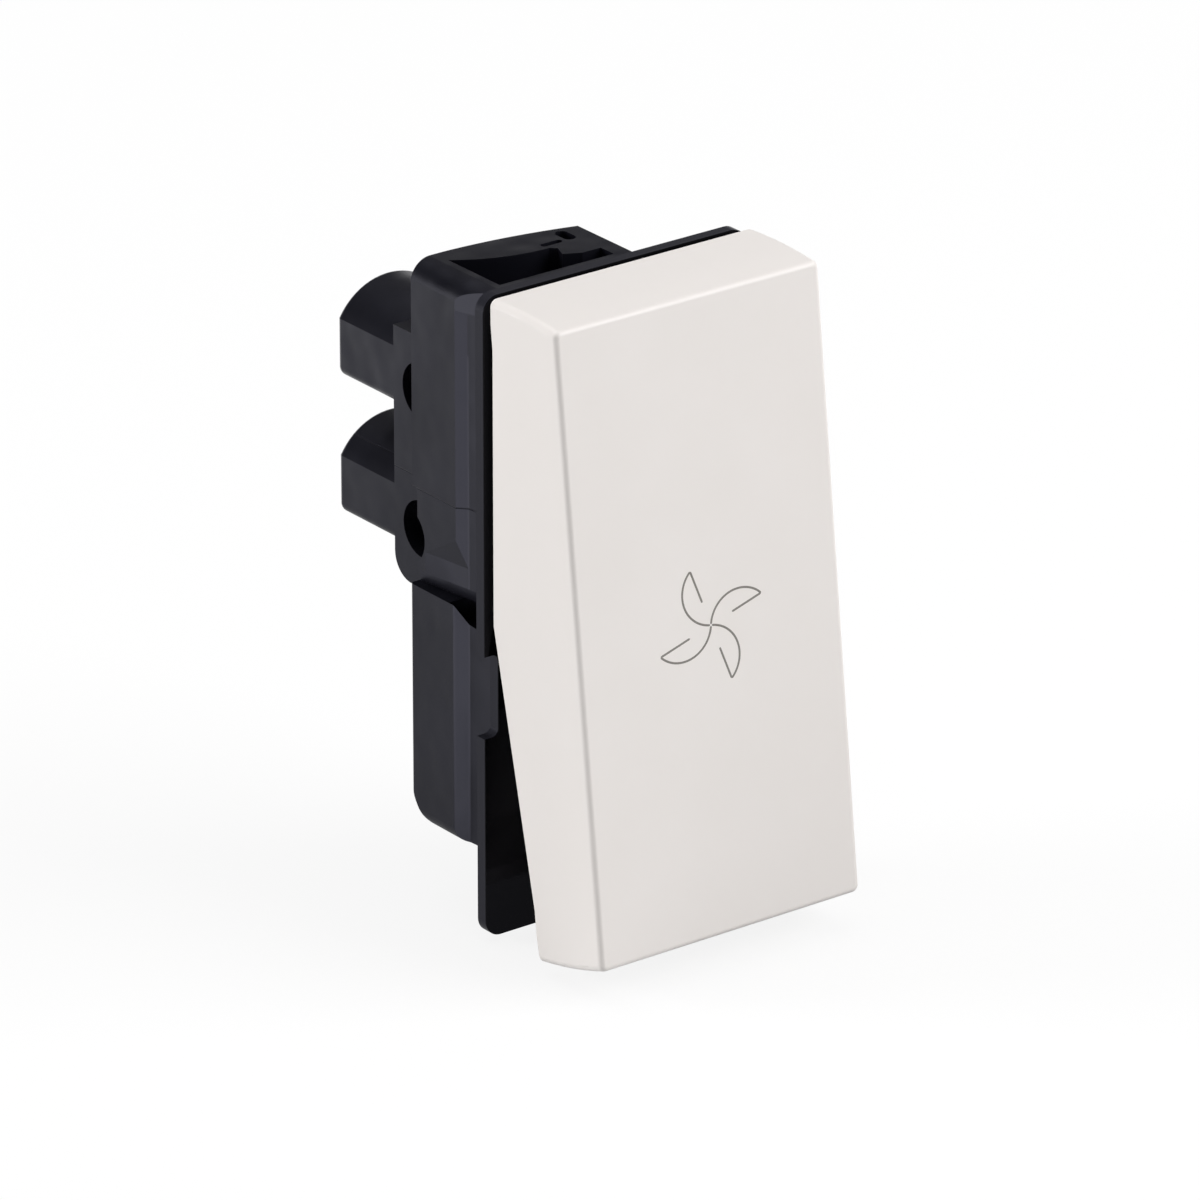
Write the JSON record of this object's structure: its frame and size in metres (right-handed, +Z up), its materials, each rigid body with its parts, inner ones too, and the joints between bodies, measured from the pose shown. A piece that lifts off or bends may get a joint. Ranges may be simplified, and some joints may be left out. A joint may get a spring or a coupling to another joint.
{
  "type": "fan switch",
  "caption": "One-module rocker switch with a white tilting key, a fan sign, a black snap-in housing and rear screw terminals.",
  "frame": {"origin": "centre of the front plate's back face, at the height of the rocker's pivot", "axes": "-Y to the front, +X to the right seen from the front, +Z up"},
  "size_m": [0.0216, 0.0311, 0.0458],
  "materials": {
    "white_key": "satin-gloss warm white",
    "dolly_plastic": "black acetal",
    "black_housing": "satin black moulding",
    "plunger_steel": "ground steel",
    "spring_steel": "drawn wire",
    "brass_strip": "stamped brass",
    "silver_contact": "silver contact",
    "zinc_screw": "zinc-plated steel"
  },
  "bodies": {
    "base": {"housing": "black_housing", "support_plate": "black_housing", "terminal_base": "black_housing", "line_strip": "brass_strip", "load_strip": "brass_strip", "fixed_contact": "silver_contact", "line_saddle": "brass_strip", "load_saddle": "brass_strip"},
    "rocker": {"rocker_key": "white_key", "dolly": "dolly_plastic", "plunger_spring": "spring_steel"},
    "plunger": {"plunger": "plunger_steel"},
    "blade": {"moving_blade": "brass_strip", "moving_contact": "silver_contact"},
    "line_clamp": {"line_screw": "zinc_screw", "line_pressure_plate": "zinc_screw"},
    "load_clamp": {"load_screw": "zinc_screw", "load_pressure_plate": "zinc_screw"}
  },
  "joints": [
    {"name": "rocker_tilt", "type": "hinge", "parent": "base", "child": "rocker", "pos_m": [0, -0.0017, 0], "axis": [1, 0, 0], "range_deg": [0, 13.12]},
    {"name": "blade_tilt", "type": "hinge", "parent": "base", "child": "blade", "pos_m": [0.005, 0.00345, 0], "axis": [1, 0, 0], "range_deg": [-13.12, 0]},
    {"name": "plunger_press", "type": "slide", "parent": "rocker", "child": "plunger", "axis": [0, -0.9935, 0.1142], "range_m": [0, 0.0004], "stiffness_N_per_m": 400, "springref_m": -0.001},
    {"name": "line_clamp_close", "type": "slide", "parent": "base", "child": "line_clamp", "axis": [0, -1, 0], "range_m": [0, 0.002]},
    {"name": "load_clamp_close", "type": "slide", "parent": "base", "child": "load_clamp", "axis": [0, -1, 0], "range_m": [0, 0.002]}
  ],
  "couplings": [
    {"joint": "blade_tilt", "follows": "rocker_tilt", "ratio": -1}
  ]
}
